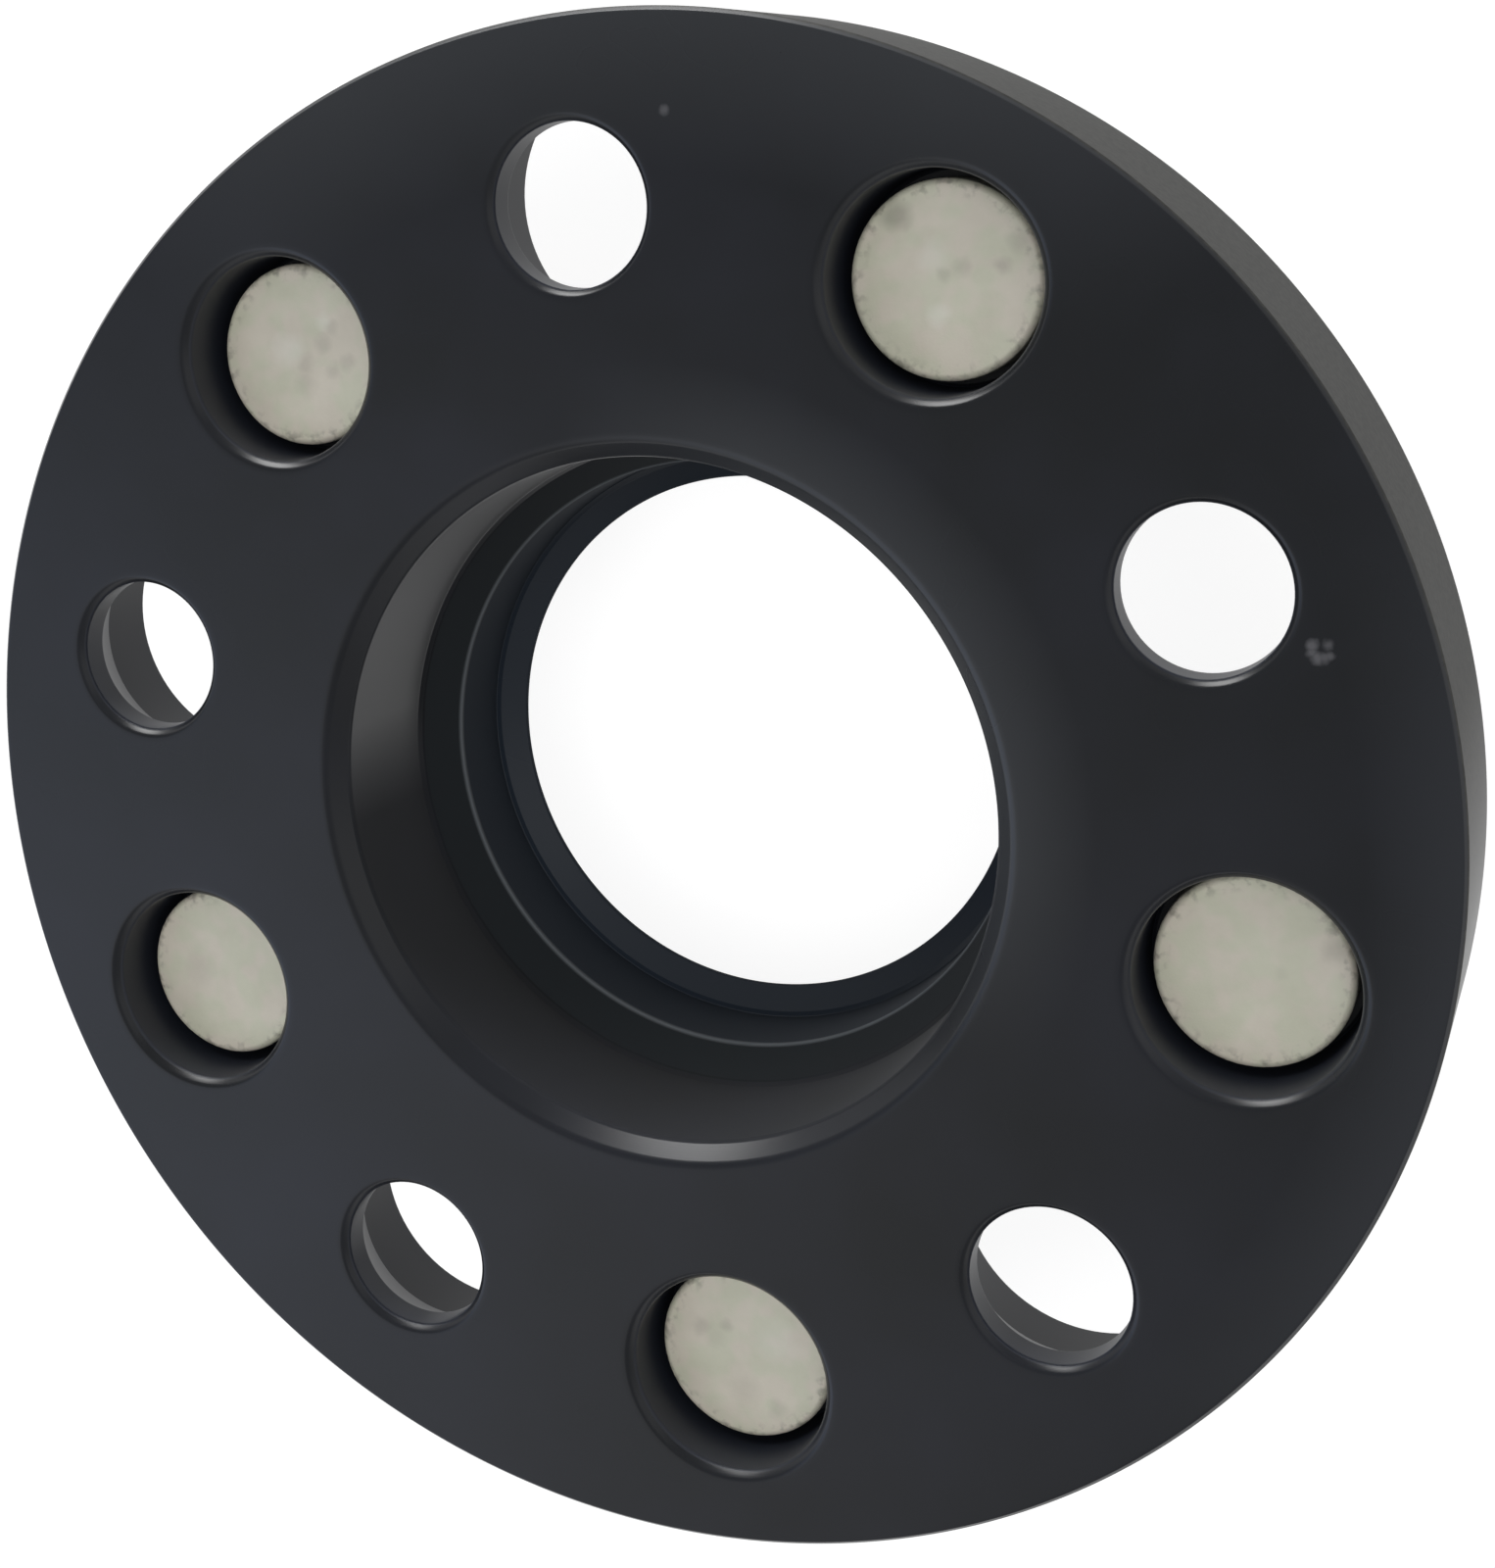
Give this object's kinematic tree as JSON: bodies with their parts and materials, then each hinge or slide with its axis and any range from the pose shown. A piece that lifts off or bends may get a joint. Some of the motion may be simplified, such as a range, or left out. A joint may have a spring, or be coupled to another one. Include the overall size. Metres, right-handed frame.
{
  "type": "wheel spacer",
  "caption": "Bolt-on hub-centric wheel spacer: a round black plate with a stepped centre bore, a centring lip, open lug holes and press-in wheel studs.",
  "frame": {"origin": "on the axis of the centre bore, in the plane of the stud tips, which is the plane that the spacer stands on", "axes": "+Z along the axis of the centre bore, out of the hub side; +Y through the first lug hole; +X completes the right-handed frame"},
  "size_m": [0.149, 0.149, 0.048],
  "materials": {
    "anodised_black": "satin black anodised over fine turning marks",
    "stud_steel": "matt pale grey coated steel, slightly worn at the head edges"
  },
  "bodies": {
    "root": {"spacer_plate": "anodised_black", "wheel_stud_1": "stud_steel", "wheel_stud_2": "stud_steel", "wheel_stud_3": "stud_steel", "wheel_stud_4": "stud_steel", "wheel_stud_5": "stud_steel"}
  },
  "joints": []
}
